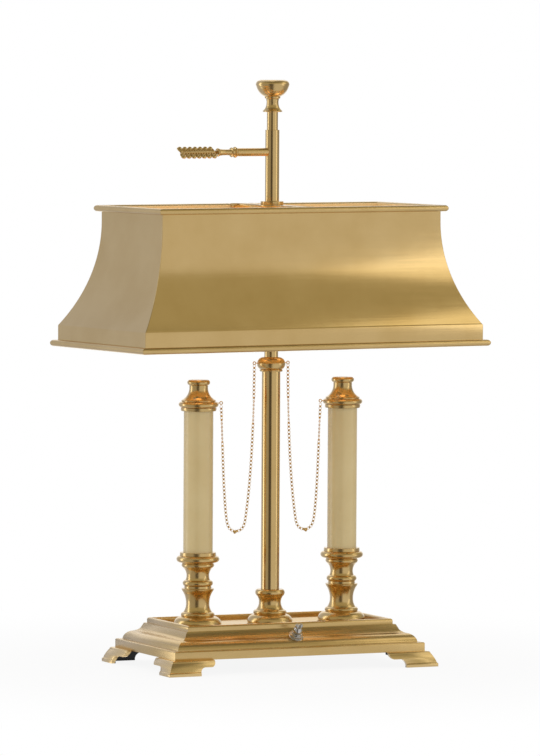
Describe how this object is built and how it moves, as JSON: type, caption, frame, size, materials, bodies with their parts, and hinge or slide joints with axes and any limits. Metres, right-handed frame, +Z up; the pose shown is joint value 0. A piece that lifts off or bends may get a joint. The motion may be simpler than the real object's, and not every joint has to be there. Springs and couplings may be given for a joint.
{
  "type": "bouillotte lamp",
  "caption": "Brass table lamp on a footed tray base, with candle columns, chained lift-off caps and an oblong flared shade that slides and turns on its rod.",
  "frame": {"origin": "on the floor, on the axis of the column, at the middle of the foot print", "axes": "+Z up, the base is long in X, the switch is on the front, which is -Y"},
  "size_m": [0.4748, 0.2618, 0.66],
  "materials": {
    "satin_brass": "satin, finely brushed, lacquered",
    "chain_brass": "bright",
    "ivory_tube": "smooth, slightly glossy ivory",
    "nickel": "polished nickel",
    "bulb_glass": "frosted",
    "bulb_cap": "plain",
    "zinc_steel": "zinc plated",
    "black_plate": "matte black paint",
    "black_plastic": "moulded"
  },
  "bodies": {
    "stand": {"base_casting": "satin_brass", "base_plate": "black_plate", "base_plate_screws": "zinc_steel", "bulb_base_left": "bulb_cap", "bulb_base_right": "bulb_cap", "bulb_left": "bulb_glass", "bulb_right": "bulb_glass", "candle_cup_left": "satin_brass", "candle_cup_right": "satin_brass", "candle_nuts": "zinc_steel", "candle_stud_left": "zinc_steel", "candle_stud_right": "zinc_steel", "candle_tube_left": "ivory_tube", "candle_tube_right": "ivory_tube", "centre_nut": "zinc_steel", "centre_pipe": "zinc_steel", "chain_connector_left": "chain_brass", "chain_connector_right": "chain_brass", "chain_left": "chain_brass", "chain_right": "chain_brass", "cluster_body": "satin_brass", "collar": "satin_brass", "collar_eye_left": "satin_brass", "collar_eye_right": "satin_brass", "column_foot": "satin_brass", "column_tube": "satin_brass", "cord_bushing": "black_plastic", "foot_front_left": "satin_brass", "foot_front_right": "satin_brass", "foot_rear_left": "satin_brass", "foot_rear_right": "satin_brass", "socket_left": "satin_brass", "socket_right": "satin_brass", "stem_tube": "satin_brass", "switch_body": "black_plastic", "switch_bushing": "nickel", "switch_nut": "nickel", "switch_ring": "nickel", "washers": "zinc_steel"},
    "mast": {"upper_rod": "satin_brass", "finial": "satin_brass"},
    "shade": {"sleeve": "satin_brass", "shade_nut": "satin_brass", "spider": "satin_brass", "key_arm": "satin_brass", "shade_front": "satin_brass", "shade_rear": "satin_brass", "shade_left": "satin_brass", "shade_right": "satin_brass", "shade_top_bead": "satin_brass", "shade_bottom_bead": "satin_brass"},
    "key": {"key_screw": "satin_brass", "key_collar": "satin_brass", "key_feather": "satin_brass"},
    "switch": {"switch_knob": "nickel"},
    "cap_left": {"cap_left": "satin_brass", "cap_eye_left": "satin_brass"},
    "cap_right": {"cap_right": "satin_brass", "cap_eye_right": "satin_brass"}
  },
  "joints": [
    {"name": "shade_turn", "type": "hinge", "parent": "stand", "child": "mast", "pos_m": [0, 0, 0.438], "axis": [0, 0, 1], "range_deg": [-28, 15]},
    {"name": "shade_slide", "type": "slide", "parent": "mast", "child": "shade", "axis": [0, 0, 1], "range_m": [-0.0445, 0.0196]},
    {"name": "key_turn", "type": "hinge", "parent": "shade", "child": "key", "pos_m": [0, 0, 0.5789], "axis": [-0.9936, -0.1132, 0], "range_deg": [0, 360]},
    {"name": "switch_turn", "type": "hinge", "parent": "stand", "child": "switch", "pos_m": [0, -0.0705, 0.0369], "axis": [0, -0.5592, 0.829], "continuous": true},
    {"name": "cap_left_lift", "type": "slide", "parent": "stand", "child": "cap_left", "axis": [0, 0, 1], "range_m": [0, 0.03]},
    {"name": "cap_right_lift", "type": "slide", "parent": "stand", "child": "cap_right", "axis": [0, 0, 1], "range_m": [0, 0.03]}
  ]
}
